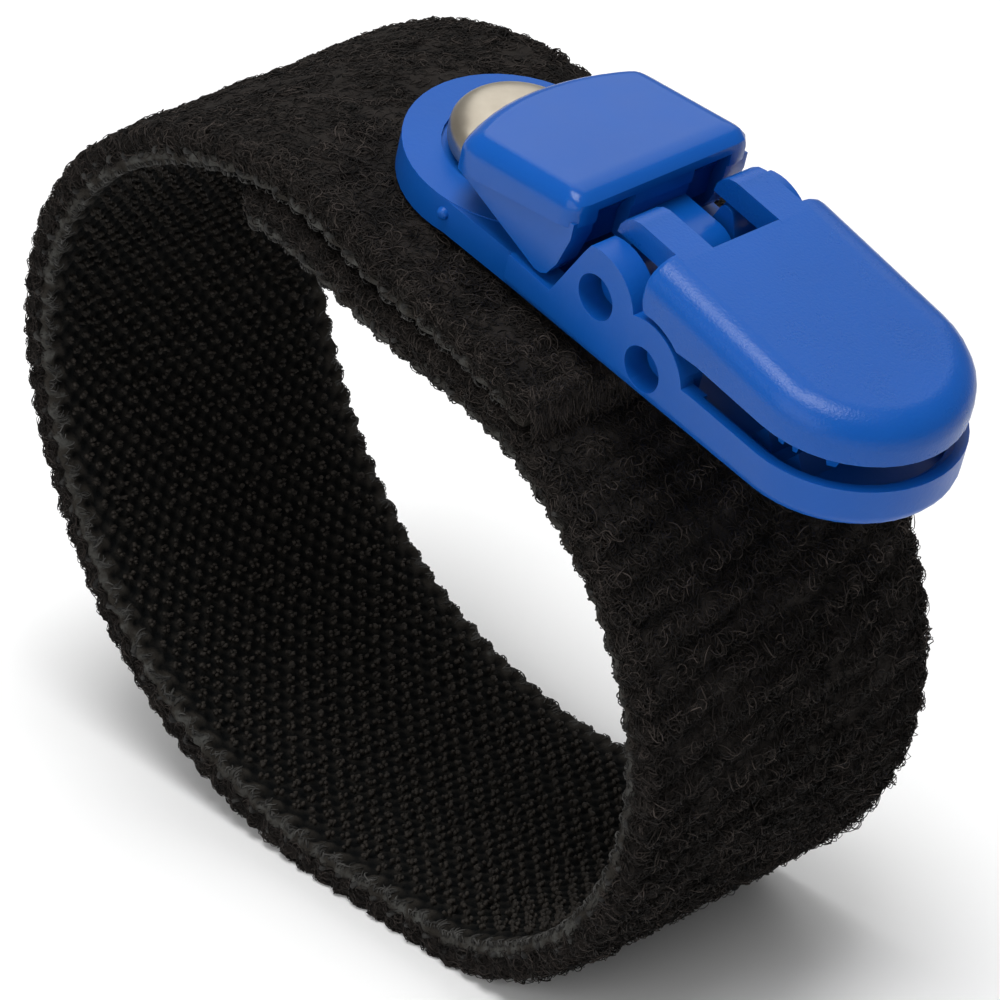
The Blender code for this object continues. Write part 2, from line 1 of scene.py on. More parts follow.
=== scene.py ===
"""Visual model of the ESD wrist strap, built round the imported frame.

The band is drawn again as two woven webs with loop pile, hooks and selvedges, because its CAD
solids are plain strips. The clip's mouldings are the CAD shapes with softened edges, the snap's cap
is turned again with a smooth dome, and the rivet and the backing keep the CAD shapes.
Lengths are metres in the part's own frame: X along the clip, Y along the band's axis, Z up.
"""
import math

import bmesh
import bpy
import numpy as np
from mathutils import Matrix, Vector


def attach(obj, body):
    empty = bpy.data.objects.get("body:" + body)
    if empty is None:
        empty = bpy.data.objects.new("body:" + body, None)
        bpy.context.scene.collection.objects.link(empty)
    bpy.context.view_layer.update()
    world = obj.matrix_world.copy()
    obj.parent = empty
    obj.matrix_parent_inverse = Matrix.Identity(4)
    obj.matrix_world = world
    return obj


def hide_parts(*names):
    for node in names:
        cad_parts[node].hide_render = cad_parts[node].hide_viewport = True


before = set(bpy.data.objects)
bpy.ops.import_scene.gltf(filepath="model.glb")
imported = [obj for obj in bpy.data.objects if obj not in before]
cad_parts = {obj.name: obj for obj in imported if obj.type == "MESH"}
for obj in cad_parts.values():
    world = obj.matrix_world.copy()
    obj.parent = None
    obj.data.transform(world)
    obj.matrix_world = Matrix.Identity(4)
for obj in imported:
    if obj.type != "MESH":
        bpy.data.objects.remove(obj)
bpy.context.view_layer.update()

MM = 0.001
RNG = np.random.default_rng(7)

# The band's middle line, as in the CAD: radius against angle, with its two ends overlapped.
LAYER = 2.4 * MM
HOOK_WEB = 0.9 * MM
HOOK_FACE = 1.15 * MM
BAND_HALF = 12.7 * MM
LOOP_RADIUS = 29.45 * MM
LOOP_WAVES = ((2, 3.31 * MM, -19.5), (3, 0.58 * MM, -5.3), (5, 0.27 * MM, 14.7))
INNER_END = 107.0
TAIL_END = 43.5
OVERLAP_DIP = 3.35 * MM
SNAP_ROOM = 0.6 * MM
LAYER_PITCH = LAYER + 0.42 * MM
CONTACT_X = 6.2 * MM
FLOOR = -27.4 * MM
TRAVEL = INNER_END - TAIL_END + 360.0

# Clip frame: at the disc's top, X to the nose.
CLIP_AT = Vector((0.1 * MM, 0.0, 57.3 * MM))
CLIP_SLOPE = math.radians(15.05)
CLIP_X = np.array((math.cos(CLIP_SLOPE), 0.0, -math.sin(CLIP_SLOPE)))
CLIP_Z = np.array((math.sin(CLIP_SLOPE), 0.0, math.cos(CLIP_SLOPE)))
DISC_BOTTOM = -2.75 * MM

# Fabric: PITCH is one pick of the weave along the band, HOOK_ACROSS one hook cell across it.
PITCH = 1.95 * MM
HOOK_ACROSS = 1.37 * MM
SCALLOP = 0.36 * MM
RIM_WIDTH = 1.0 * MM
RIM_HEIGHT = 0.22 * MM
EDGE_CORNER = 0.4 * MM

# Pile: loops in PILE_PARTS meshes, from PILE_START degrees along the band to its outer end.
PILE_LOOPS = 69000
PILE_PARTS = 3
PILE_START = 58.0
RIDGE = 2.5 * MM
FIBRE = 0.036 * MM
END_FIBRE = 0.037 * MM
EDGE_LOOPS = 17000
SEAM_LOOPS = 4200
END_LOOPS = 6500

# Travel angle along the band against how far its pile stands up and how strong its ridges are.
PILE_TRAVELS = (58, 80, 110, 200, 300, 318, 345, 424)
PILE_HEIGHTS = (0.8, 0.8, 1.0, 1.15, 1.1, 0.7, 0.6, 0.7)
RIDGE_TRAVELS = (62, 80, 150, 180)
RIDGE_STRENGTHS = (0.5, 1.0, 1.0, 0.25)

# Hooks: from HOOKS_HIDDEN degrees on, the web lies on the inner layer and is pressed flat.
HOOKS_HIDDEN = 352.0
HOOK_TIPS = ((0.06, 0.10, 0.35), (-0.08, 0.08, -0.35), (0.06, -0.10, 0.35), (-0.07, -0.09, -0.35))

# Clip and snap
BLUE = (0.0016, 0.074, 0.348)
BEVEL_ANGLE = math.radians(34)
CAP_PROFILE = ((0.0, 2.85), (1.6, 2.82), (3.0, 2.7), (3.9, 2.5), (4.5, 2.2), (4.85, 1.8),
               (5.0, 1.35), (5.0, 0.6), (4.85, 0.2), (4.5, 0.03), (4.2, 0.0), (0.0, 0.0))
PIP_PROFILE = ((0.0, 0.26), (0.22, 0.23), (0.37, 0.13), (0.43, 0.0), (0.45, -0.2), (0.0, -0.22))
PIP_AT = (1.7 * MM, -8.0 * MM, -1.2 * MM)

# Stage
FLOOR_HALF = 3.0
CAMERA_AT = (274.5 * MM, -242.75 * MM, 247.31 * MM)
CAMERA_DOWN = 30.695
CAMERA_TURN = 48.701
LAMPS = (
    ("overhead", (0.04, -0.06, 0.62), 0.34, 3.2),
    ("front", (0.10, -0.55, 0.30), 0.5, 1.4),
    ("back", (-0.28, 0.42, 0.52), 0.5, 0.9),
)


# ---------------------------------------------------------------- materials

def new_material(name):
    result = bpy.data.materials.new(name)
    result.use_nodes = True
    return result, result.node_tree, result.node_tree.nodes["Principled BSDF"]


def node(tree, kind, **settings):
    item = tree.nodes.new(kind)
    for key, value in settings.items():
        if key.startswith("in_"):
            item.inputs[key[3:].replace("_", " ")].default_value = value
        else:
            setattr(item, key, value)
    return item


def ramp(tree, source, stops):
    item = tree.nodes.new("ShaderNodeValToRGB")
    elements = item.color_ramp.elements
    while len(elements) < len(stops):
        elements.new(0.5)
    for element, (position, colour) in zip(elements, stops):
        element.position = position
        element.color = (*colour, 1.0)
    tree.links.new(source, item.inputs[0])
    return item


def bump(tree, shader, source, strength, distance, chained=None):
    item = node(tree, "ShaderNodeBump", in_Strength=strength, in_Distance=distance)
    tree.links.new(source, item.inputs["Height"])
    if chained:
        tree.links.new(chained.outputs[0], item.inputs["Normal"])
    tree.links.new(item.outputs[0], shader.inputs["Normal"])
    return item


def fibre_material(name, dark, light, roughness, specular):
    """Nylon yarn: each fibre has its own shade, with painted shade on the low parts of pile loops and
    on hook roots, and streaks run along it.
    """
    result, tree, shader = new_material(name)
    shade = node(tree, "ShaderNodeAttribute", attribute_name="shade")
    coords = node(tree, "ShaderNodeTexCoord")
    grain = node(tree, "ShaderNodeTexNoise", in_Scale=900.0, in_Detail=2.0)
    tree.links.new(coords.outputs["Object"], grain.inputs["Vector"])
    mix = node(tree, "ShaderNodeMath", operation="MULTIPLY_ADD")
    mix.inputs[1].default_value = 0.35
    tree.links.new(grain.outputs[0], mix.inputs[0])
    tree.links.new(shade.outputs["Fac"], mix.inputs[2])
    colour = ramp(tree, mix.outputs[0], ((0.12, dark), (1.05, light)))
    tree.links.new(colour.outputs[0], shader.inputs["Base Color"])
    shader.inputs["Roughness"].default_value = roughness
    shader.inputs["Specular IOR Level"].default_value = specular
    return result


def web_material(name, dark, light, edge, scale):
    """Woven ground of the pile or hook web: the high parts are lighter than the valleys, which is
    painted shade, and the edges are lightest.
    """
    result, tree, shader = new_material(name)
    shade = node(tree, "ShaderNodeAttribute", attribute_name="shade")
    coords = node(tree, "ShaderNodeTexCoord")
    fine = node(tree, "ShaderNodeTexNoise", in_Scale=scale * 2.2, in_Detail=4.0, in_Roughness=0.7)
    weave = node(tree, "ShaderNodeTexVoronoi", in_Scale=scale)
    for item in (fine, weave):
        tree.links.new(coords.outputs["Object"], item.inputs["Vector"])
    mix = node(tree, "ShaderNodeMath", operation="MULTIPLY_ADD")
    mix.inputs[1].default_value = 0.35
    tree.links.new(fine.outputs[0], mix.inputs[0])
    tree.links.new(shade.outputs["Fac"], mix.inputs[2])
    colour = ramp(tree, mix.outputs[0], ((0.2, dark), (0.72, light), (0.8, light), (1.0, edge)))
    tree.links.new(colour.outputs[0], shader.inputs["Base Color"])
    shader.inputs["Roughness"].default_value = 0.9
    shader.inputs["Specular IOR Level"].default_value = 0.12
    first = bump(tree, shader, weave.outputs["Distance"], 0.6, 0.0004)
    bump(tree, shader, fine.outputs[0], 0.7, 0.00025, first)
    return result


def plastic_material(name, base, low, high, grain, depth):
    """Moulded blue plastic: faint colour drift, fine surface grain and a few rubbed patches."""
    result, tree, shader = new_material(name)
    coords = node(tree, "ShaderNodeTexCoord")
    drift = node(tree, "ShaderNodeTexNoise", in_Scale=60.0, in_Detail=3.0)
    fine = node(tree, "ShaderNodeTexNoise", in_Scale=grain, in_Detail=2.0, in_Roughness=0.6)
    wear = node(tree, "ShaderNodeTexNoise", in_Scale=240.0, in_Detail=5.0, in_Roughness=0.65)
    for item in (drift, fine, wear):
        tree.links.new(coords.outputs["Object"], item.inputs["Vector"])
    dull = tuple(0.9 * c for c in base)
    rich = tuple(min(1.0, 1.06 * c + 0.002) for c in base)
    colour = ramp(tree, drift.outputs[0], ((0.3, dull), (0.7, rich)))
    tree.links.new(colour.outputs[0], shader.inputs["Base Color"])
    rough = node(tree, "ShaderNodeMapRange", in_To_Min=low, in_To_Max=high)
    rough.inputs["From Min"].default_value = 0.35
    rough.inputs["From Max"].default_value = 0.7
    tree.links.new(wear.outputs[0], rough.inputs[0])
    tree.links.new(rough.outputs[0], shader.inputs["Roughness"])
    shader.inputs["IOR"].default_value = 1.5
    shader.inputs["Specular IOR Level"].default_value = 0.24
    shader.inputs["Subsurface Weight"].default_value = 0.05
    shader.inputs["Subsurface Radius"].default_value = (0.0002, 0.0004, 0.0012)
    shader.inputs["Subsurface Scale"].default_value = 1.0
    bump(tree, shader, fine.outputs[0], 0.35, depth)
    return result


def metal_material(name):
    """Nickel plate: warm, with a faint cloudy drift in colour and roughness, and fine scratches."""
    result, tree, shader = new_material(name)
    coords = node(tree, "ShaderNodeTexCoord")
    cloud = node(tree, "ShaderNodeTexNoise", in_Scale=350.0, in_Detail=4.0)
    fine = node(tree, "ShaderNodeTexNoise", in_Scale=2600.0, in_Detail=2.0)
    for item in (cloud, fine):
        tree.links.new(coords.outputs["Object"], item.inputs["Vector"])
    colour = ramp(tree, cloud.outputs[0], ((0.3, (0.42, 0.37, 0.30)), (0.7, (0.56, 0.51, 0.42))))
    tree.links.new(colour.outputs[0], shader.inputs["Base Color"])
    rough = node(tree, "ShaderNodeMapRange", in_To_Min=0.32, in_To_Max=0.42)
    tree.links.new(cloud.outputs[0], rough.inputs[0])
    tree.links.new(rough.outputs[0], shader.inputs["Roughness"])
    shader.inputs["Metallic"].default_value = 1.0
    bump(tree, shader, fine.outputs[0], 0.05, 0.000006)
    return result


# ---------------------------------------------------------------- band geometry

def smooth_step(low, high, value):
    t = np.clip((value - low) / (high - low), 0.0, 1.0)
    return t * t * (3.0 - 2.0 * t)


def middle_line(travel):
    """Points of the band's middle line, travel degrees clockwise from its inner end."""
    angle = INNER_END - travel
    room = smooth_step(38.0, 62.0, angle) - smooth_step(88.0, 105.0, angle)
    inner = -OVERLAP_DIP * smooth_step(40.0, 82.0, angle) - SNAP_ROOM * room
    again = angle + 360.0
    rise = OVERLAP_DIP - LAYER_PITCH
    outer = -OVERLAP_DIP * smooth_step(40.0, 82.0, again) + LAYER_PITCH
    outer = outer + rise * smooth_step(70.0, 100.0, again)
    shift = np.where(travel < 90.0, inner, np.where(travel > 330.0, outer, 0.0))
    radius = LOOP_RADIUS + shift
    for order, size, peak in LOOP_WAVES:
        radius = radius + size * np.cos(np.radians(order * (angle - peak)))
    turn = np.radians(angle)
    return np.stack((radius * np.cos(turn), radius * np.sin(turn)), axis=-1)


TRAVELS = np.linspace(0.0, TRAVEL, 4000)
LINE = middle_line(TRAVELS)
ALONG = middle_line(TRAVELS + 0.5) - middle_line(TRAVELS - 0.5)
ALONG /= np.linalg.norm(ALONG, axis=1)[:, None]
STEPS = np.linalg.norm(np.diff(LINE, axis=0), axis=1)
LENGTHS = np.concatenate(([0.0], np.cumsum(STEPS)))
BAND_LENGTH = float(LENGTHS[-1])


def at_travel(travel):
    """Length along the band at a travel angle."""
    return float(np.interp(travel, TRAVELS, LENGTHS))


def place(s, y, h):
    """World points at lengths s along the band, y across it and h out from the hook face."""
    x = np.interp(s, LENGTHS, LINE[:, 0])
    z = np.interp(s, LENGTHS, LINE[:, 1])
    ax = np.interp(s, LENGTHS, ALONG[:, 0])
    az = np.interp(s, LENGTHS, ALONG[:, 1])
    over = s - np.clip(s, 0.0, BAND_LENGTH)
    x = x - az * (h - HOOK_FACE) + ax * over
    z = z + ax * (h - HOOK_FACE) + az * over
    lowest = np.maximum(LAYER - h, 0.08 * MM) + FLOOR
    z = np.maximum(z, lowest)
    return np.stack((x - CONTACT_X, y, z - FLOOR), axis=-1)


def under_clip(points):
    """Press points that would reach the clip down below its underside."""
    rel = points - np.array(CLIP_AT)
    height = rel @ CLIP_Z
    near = np.linalg.norm(rel - height[..., None] * CLIP_Z, axis=-1)
    limit = DISC_BOTTOM - 0.06 * MM
    excess = np.where((height > limit) & (near < 44 * MM) & (height < 10 * MM), height - limit, 0.0)
    return points - excess[..., None] * CLIP_Z


def lattice_noise(u, v, seed):
    """Smooth noise from 0 to 1 on a unit lattice."""
    table = np.random.default_rng(seed).random((64, 64))
    iu, iv = np.floor(u).astype(int), np.floor(v).astype(int)
    fu, fv = u - iu, v - iv
    fu, fv = fu * fu * (3 - 2 * fu), fv * fv * (3 - 2 * fv)
    a = table[iu % 64, iv % 64]
    b = table[(iu + 1) % 64, iv % 64]
    c = table[iu % 64, (iv + 1) % 64]
    d = table[(iu + 1) % 64, (iv + 1) % 64]
    return (a * (1 - fu) + b * fu) * (1 - fv) + (c * (1 - fu) + d * fu) * fv


def ridges(s, y):
    """Rows of pile that stand up across the band, strongest on the nose side of the loop."""
    strong = np.interp(s, [at_travel(travel) for travel in RIDGE_TRAVELS], RIDGE_STRENGTHS)
    lean = s + 0.22 * y + 0.9 * MM * (lattice_noise(s / (7 * MM), y / (5 * MM), 3) - 0.5)
    wave = 0.5 + 0.5 * np.cos(2 * np.pi * lean / RIDGE)
    clumps = lattice_noise(s / (1.1 * MM), y / (1.3 * MM), 5)
    return strong * wave * (0.55 + 0.45 * clumps) + (1 - strong) * clumps


def edge_reach(s):
    """How far the scalloped long edges stand from the band's middle: one scallop to each pick."""
    return BAND_HALF - 0.35 * MM + SCALLOP * np.abs(np.sin(np.pi * s / PITCH))


def rim_pattern(s, y):
    """The flat woven rim along each edge and the small pits inside it, each from 0 to 1."""
    inside = BAND_HALF - RIM_WIDTH
    rim = smooth_step(inside - 0.3 * MM, inside + 0.1 * MM, np.abs(y))
    along = ((s / PITCH) % 1.0 - 0.5) * PITCH / (0.46 * MM)
    across = (np.abs(y) - inside - 0.2 * MM) / (0.5 * MM)
    return rim, np.exp(-along ** 2 - across ** 2)


def hook_cells(s, y):
    """Height pattern of the woven hook cells: a staggered diamond lattice, from 0 to 1."""
    along = (s - PITCH / 4) / PITCH
    across = y / HOOK_ACROSS
    one_way = np.cos(2 * np.pi * (along + across))
    other_way = np.cos(2 * np.pi * (along - across))
    return 0.5 + 0.25 * (one_way + other_way)


# ---------------------------------------------------------------- mesh building

def make_mesh(name, points, faces_flat, face_sizes, material, shade=None):
    """A smooth-shaded mesh object from flat arrays; shade is its fibres' tone at each vertex, with
    painted shade where a caller darkens low parts.
    """
    mesh = bpy.data.meshes.new(name)
    mesh.vertices.add(len(points))
    mesh.vertices.foreach_set("co", np.ascontiguousarray(points, dtype=np.float32).ravel())
    mesh.loops.add(len(faces_flat))
    mesh.loops.foreach_set("vertex_index", np.ascontiguousarray(faces_flat, dtype=np.int32))
    starts = np.concatenate(([0], np.cumsum(face_sizes)[:-1])).astype(np.int32)
    mesh.polygons.add(len(face_sizes))
    mesh.polygons.foreach_set("loop_start", starts)
    mesh.polygons.foreach_set("use_smooth", np.ones(len(face_sizes), dtype=bool))
    mesh.update(calc_edges=True)
    if shade is not None:
        layer = mesh.attributes.new("shade", "FLOAT", "POINT")
        layer.data.foreach_set("value", np.ascontiguousarray(shade, dtype=np.float32))
    mesh.materials.append(material)
    item = bpy.data.objects.new(name, mesh)
    bpy.context.collection.objects.link(item)
    return item


def tubes(name, paths, radii, sides, material, shade):
    """Closed tubes along many paths at once: paths (n, k, 3), radii (n, k), shade (n, k)."""
    n, k, _ = paths.shape
    tangent = np.gradient(paths, axis=1)
    tangent /= np.maximum(np.linalg.norm(tangent, axis=2), 1e-9)[..., None]
    guide = np.tile(np.array((0.31, 0.23, 0.92)), (n, k, 1))
    side = np.cross(tangent, guide)
    side /= np.maximum(np.linalg.norm(side, axis=2), 1e-9)[..., None]
    other = np.cross(tangent, side)
    turn = 2 * np.pi * np.arange(sides) / sides
    ring = side[:, :, None, :] * np.cos(turn)[None, None, :, None]
    ring = ring + other[:, :, None, :] * np.sin(turn)[None, None, :, None]
    points = paths[:, :, None, :] + ring * radii[:, :, None, None]
    index = np.arange(n * k * sides).reshape(n, k, sides)
    after = np.roll(index, -1, axis=2)
    quads = np.stack((index[:, :-1], after[:, :-1], after[:, 1:], index[:, 1:]), axis=-1)
    quads = quads.reshape(-1, 4)
    start_caps = index[:, 0, ::-1].reshape(-1, sides)
    end_caps = index[:, -1, :].reshape(-1, sides)
    flat = np.concatenate((quads.ravel(), start_caps.ravel(), end_caps.ravel()))
    sizes = np.concatenate((np.full(len(quads), 4), np.full(2 * n, sides)))
    shades = np.repeat(shade.reshape(n, k, 1), sides, axis=2).ravel()
    return make_mesh(name, points.reshape(-1, 3), flat, sizes, material, shades)


def strip(name, low, high, material, crown, relief, tone_and_shade, outer_count, inner_count, step):
    """One web of the band with rounded, scalloped edges.

    crown raises its outer face, relief its inner one, and the tone function gives its colour, with
    painted shade in its low parts.
    """
    stations = np.linspace(0.0, BAND_LENGTH, int(BAND_LENGTH / step) + 1)
    half_thick = (high - low) / 2
    middle = (high + low) / 2
    around = [(-1 + 2 * i / outer_count, 1.0) for i in range(outer_count + 1)]
    around += [(1.0, math.sin(math.radians(a))) for a in (60, 30, 0, -30, -60)]
    around += [(1 - 2 * i / inner_count, -1.0) for i in range(inner_count + 1)]
    around += [(-1.0, math.sin(math.radians(a))) for a in (-60, -30, 0, 30, 60)]
    around = np.array(around)
    count = len(around)
    s = np.repeat(stations[:, None], count, axis=1)
    u = np.repeat(around[None, :, 0], len(stations), axis=0)
    v = np.repeat(around[None, :, 1], len(stations), axis=0)
    round_edge = np.where(np.abs(u) == 1.0, np.sqrt(np.maximum(0.0, 1 - v * v)) * 0.3 * MM, 0.0)
    y = u * edge_reach(s) + np.sign(u) * round_edge
    h = middle + v * half_thick
    h = np.where(v == 1.0, h + crown(s, y), h)
    h = np.where(v == -1.0, h - relief(s, y), h)
    points = place(s, y, h)
    if high > HOOK_WEB:
        points = under_clip(points)
    index = np.arange(len(stations) * count).reshape(len(stations), count)
    after = np.roll(index, -1, axis=1)
    quads = np.stack((index[:-1], index[1:], after[1:], after[:-1]), axis=-1).reshape(-1, 4)
    flat = np.concatenate((quads.ravel(), index[0], index[-1, ::-1]))
    sizes = np.concatenate((np.full(len(quads), 4), (count, count)))
    return make_mesh(name, points.reshape(-1, 3), flat, sizes, material, tone_and_shade(s, y).ravel())


# ---------------------------------------------------------------- band pieces

def tufts(s, y):
    """Height pattern of the pile's ground: fine tufts, ridges and broad patches."""
    fine = lattice_noise(s / (0.5 * MM), y / (0.5 * MM), 11)
    broad = lattice_noise(s / (1.9 * MM), y / (2.6 * MM), 12)
    return 0.22 * fine + 0.44 * ridges(s, y) + 0.34 * broad


def pile_crown(s, y):
    fall = np.clip((BAND_HALF - 0.5 * MM - np.abs(y)) / (0.8 * MM), 0.0, 1.0)
    return (0.75 * tufts(s, y) - 0.15) * fall * MM


def hook_relief(s, y):
    fine = lattice_noise(s / (0.45 * MM), y / (0.45 * MM), 13)
    seen = 1.0 - smooth_step(350.0, 354.0, np.interp(s, LENGTHS, TRAVELS))
    rim, pit = rim_pattern(s, y)
    cells = (0.36 * hook_cells(s, y) + 0.10 * fine - 0.1) * MM
    return ((1.0 - rim) * cells + rim * (RIM_HEIGHT + 0.05 * fine * MM) - 0.4 * MM * pit) * seen


def hook_tone_and_shade(s, y):
    rim, pit = rim_pattern(s, y)
    fine = lattice_noise(s / (0.4 * MM), y / (0.4 * MM), 15)
    # Painted shade: the low parts of the hook cells are darker than their tops.
    cells = 0.55 * hook_cells(s, y) ** 2
    # Painted shade: the pits are darkened; the rim's lighter grey is its own colour.
    return (cells * (1.0 - rim) + 0.85 * rim * (0.6 + 0.4 * fine)) * (1.0 - pit)


def flat_face(s, y):
    return 0.0 * s


def build_webs():
    """The two woven grounds, which stand for the band's CAD solids."""
    # Each ground's ramp runs from a dark end, painted shade for the valleys of the weave, to its
    # light end; the hook ground's edge colour is its light-grey rim.
    pile_ground = web_material("pile_ground", (0.0008, 0.0008, 0.0008), (0.016, 0.0135, 0.012),
                               (0.018, 0.0155, 0.014), 1500.0)
    hook_ground = web_material("hook_ground", (0.0006, 0.0011, 0.0014), (0.021, 0.0185, 0.0155),
                               (0.060, 0.060, 0.056), 1300.0)
    # The pile web's tone is its own height pattern: painted shade in its low parts.
    web = strip("pile_web", HOOK_WEB + 0.02 * MM, LAYER - 0.12 * MM, pile_ground,
                pile_crown, flat_face, tufts, 96, 8, 0.26 * MM)
    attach(web, "band")
    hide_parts("strap_pile_web")
    ground = strip("hook_web", 0.0, HOOK_WEB, hook_ground,
                   flat_face, hook_relief, hook_tone_and_shade, 8, 128, 0.22 * MM)
    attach(ground, "band")
    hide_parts("strap_hook_web")


def build_band():
    build_webs()
    pile = fibre_material("pile_fibre", (0.0008, 0.0008, 0.0008), (0.068, 0.055, 0.048), 0.7, 0.15)
    hook = fibre_material("hook_fibre", (0.0014, 0.0016, 0.0016), (0.034, 0.0285, 0.0235), 0.6, 0.15)
    edge = fibre_material("selvedge_yarn", (0.0020, 0.0018, 0.0017), (0.070, 0.068, 0.064), 0.7, 0.25)
    for item in pile_loops(pile):
        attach(item, "band")
    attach(edge_fuzz(pile), "band")
    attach(end_fuzz(pile), "band")
    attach(seam_fuzz(pile), "band")
    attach(hooks(hook), "band")
    for item in selvedges(edge):
        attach(item, "band")


def curl_paths(s0, y0, heading, length, curl, rise, base, k):
    """Curled fibres: an arc in the surface that rises and comes back."""
    t = np.linspace(0.0, 1.0, k)[None, :]
    angle = heading[:, None] + curl[:, None] * (t - 0.5)
    step = length[:, None] / (k - 1)
    ds = np.cumsum(np.cos(angle) * step, axis=1)
    dy = np.cumsum(np.sin(angle) * step, axis=1)
    s = s0[:, None] + ds - ds.mean(axis=1, keepdims=True)
    y = y0[:, None] + dy - dy.mean(axis=1, keepdims=True)
    h = base[:, None] + rise[:, None] * np.sin(np.pi * t) ** 0.8
    return s, y, h


def either_way(n):
    """One or minus one, n times."""
    return np.sign(RNG.random(n) - 0.5)


def fuzz_shade(least, spread, shape):
    """Mostly dark fibres and a few light ones, each of one shade along its length."""
    return (least + spread * RNG.random((shape[0], 1)) ** 2.4) * np.ones(shape)


def pile_loops(material):
    """The curled loops of the outer face, in equal parts along the band."""
    start = at_travel(PILE_START)
    made = []
    for part in range(PILE_PARTS):
        n = PILE_LOOPS // PILE_PARTS
        s0 = start + (part + RNG.random(n)) / PILE_PARTS * (BAND_LENGTH - start)
        y0 = (RNG.random(n) * 2 - 1) * (BAND_HALF - 0.15 * MM)
        heading = RNG.random(n) * 2 * np.pi
        length = (1.1 + 1.5 * RNG.random(n) ** 1.4) * MM
        curl = RNG.normal(0.0, 1.6, n) + either_way(n) * 3.4
        stand = ridges(s0, y0)
        travel = np.interp(s0, LENGTHS, TRAVELS)
        tall = np.interp(travel, PILE_TRAVELS, PILE_HEIGHTS)
        rise = tall * (0.2 + 0.8 * stand) * (0.3 + 0.7 * RNG.random(n)) * 0.95 * MM
        base = np.full(n, LAYER - 0.15 * MM) + 0.2 * stand * MM
        s, y, h = curl_paths(s0, y0, heading, length, curl, rise, base, 7)
        s = np.clip(s, start, BAND_LENGTH + 0.2 * MM)
        over = np.maximum(np.abs(y) - edge_reach(s) - 0.1 * MM, 0.0)
        y = np.sign(y) * (np.abs(y) - 0.85 * over)
        h = h - 1.0 * over
        points = under_clip(place(s, y, h))
        radii = np.full(s.shape, FIBRE) * (0.75 + 0.6 * RNG.random((n, 1)))
        patch = lattice_noise(s0 / (1.7 * MM), y0 / (2.2 * MM), 17)[:, None]
        # The random part and the patch are the fibres' own tones; the stand term makes loops on the
        # standing ridges lighter: painted light on the ridges, painted shade in the valleys.
        tone_and_shade = 0.01 + 0.72 * RNG.random((n, 1)) ** 2.6 * (0.1 + 0.6 * patch + 0.7 * stand[:, None])
        # Painted shade: each loop is darker where it lies low in the pile.
        depth = (0.5 + 0.6 * (h - LAYER) / (0.8 * MM)).clip(0.3, 1.15)
        shade = np.clip(tone_and_shade, 0, 1) * depth
        made.append(tubes(f"pile_loops_{part + 1}", points, radii, 3, material, shade))
    return made


def round_the_edge(s, side, w, rise):
    """Points on the band's rounded edge: w runs from its face over the edge, rise stands out."""
    corner = EDGE_CORNER
    quarter = corner * math.pi / 2
    turn = np.clip(w, 0.0, quarter) / corner
    face = edge_reach(s) - 0.1 * MM + np.minimum(w, 0.0)
    y = face + corner * np.sin(turn) + rise * np.sin(turn)
    h = LAYER - corner + corner * np.cos(turn) - np.maximum(w - quarter, 0.0) + rise * np.cos(turn)
    return side * y, h


def edge_fuzz(material):
    """Curled loops that carry the pile over the band's long edges."""
    n = EDGE_LOOPS
    s0 = RNG.random(n) * BAND_LENGTH
    side = either_way(n)[:, None]
    w0 = (-0.6 + 2.6 * RNG.random(n) ** 1.15) * MM
    length = (0.6 + 1.1 * RNG.random(n)) * MM
    curl = either_way(n) * 2.8 + RNG.normal(0.0, 1.4, n)
    lift = (0.04 + 0.22 * RNG.random(n) ** 2) * MM
    s, w, rise = curl_paths(s0, w0, RNG.random(n) * 2 * np.pi, length, curl, lift, np.zeros(n), 6)
    s = np.clip(s, 0.0, BAND_LENGTH)
    y, h = round_the_edge(s, side, np.minimum(w, 2.3 * MM), rise)
    points = under_clip(place(s, y, h))
    radii = np.full(s.shape, FIBRE) * (0.75 + 0.5 * RNG.random((n, 1)))
    shade = fuzz_shade(0.04, 0.45, s.shape)
    return tubes("edge_fuzz", points, radii, 3, material, shade)


def seam_fuzz(material):
    """Pile along the edges of the inner layer, where the two ends overlap."""
    n = SEAM_LOOPS
    s0 = RNG.random(n) * at_travel(64.0)
    y0 = either_way(n) * (BAND_HALF - (0.1 + 1.6 * RNG.random(n)) * MM)
    length = (0.7 + 1.0 * RNG.random(n)) * MM
    curl = either_way(n) * 2.8 + RNG.normal(0.0, 1.2, n)
    lift = (0.15 + 0.45 * RNG.random(n)) * MM
    base = np.full(n, LAYER - 0.15 * MM)
    s, y, h = curl_paths(s0, y0, RNG.random(n) * 2 * np.pi, length, curl, lift, base, 6)
    s = np.maximum(s, 0.0)
    y = np.clip(y, -edge_reach(s), edge_reach(s))
    points = under_clip(place(s, y, h))
    radii = np.full(s.shape, FIBRE)
    shade = fuzz_shade(0.03, 0.3, s.shape)
    return tubes("seam_fuzz", points, radii, 3, material, shade)


def end_fuzz(material):
    """Loops that hang over the cut end on the outside of the band and hide its step."""
    n = END_LOOPS
    s0 = BAND_LENGTH + (1.9 * RNG.random(n) - 0.9) * MM
    y0 = (RNG.random(n) * 2 - 1) * (BAND_HALF - 0.4 * MM)
    length = (0.9 + 1.2 * RNG.random(n)) * MM
    curl = either_way(n) * 3.0 + RNG.normal(0.0, 1.4, n)
    lift = (0.1 + 0.45 * RNG.random(n)) * MM
    s, y, rise = curl_paths(s0, y0, RNG.random(n) * 2 * np.pi, length, curl, lift, np.zeros(n), 6)
    fall = smooth_step(BAND_LENGTH - 0.5 * MM, BAND_LENGTH + 1.5 * MM, s)
    h = (LAYER - 0.1 * MM) * (1.0 - fall) - 0.2 * MM * fall + rise
    points = place(s, np.clip(y, -BAND_HALF, BAND_HALF), h)
    radii = np.full(s.shape, END_FIBRE)
    shade = fuzz_shade(0.04, 0.5, s.shape)
    return tubes("end_fuzz", points, radii, 3, material, shade)


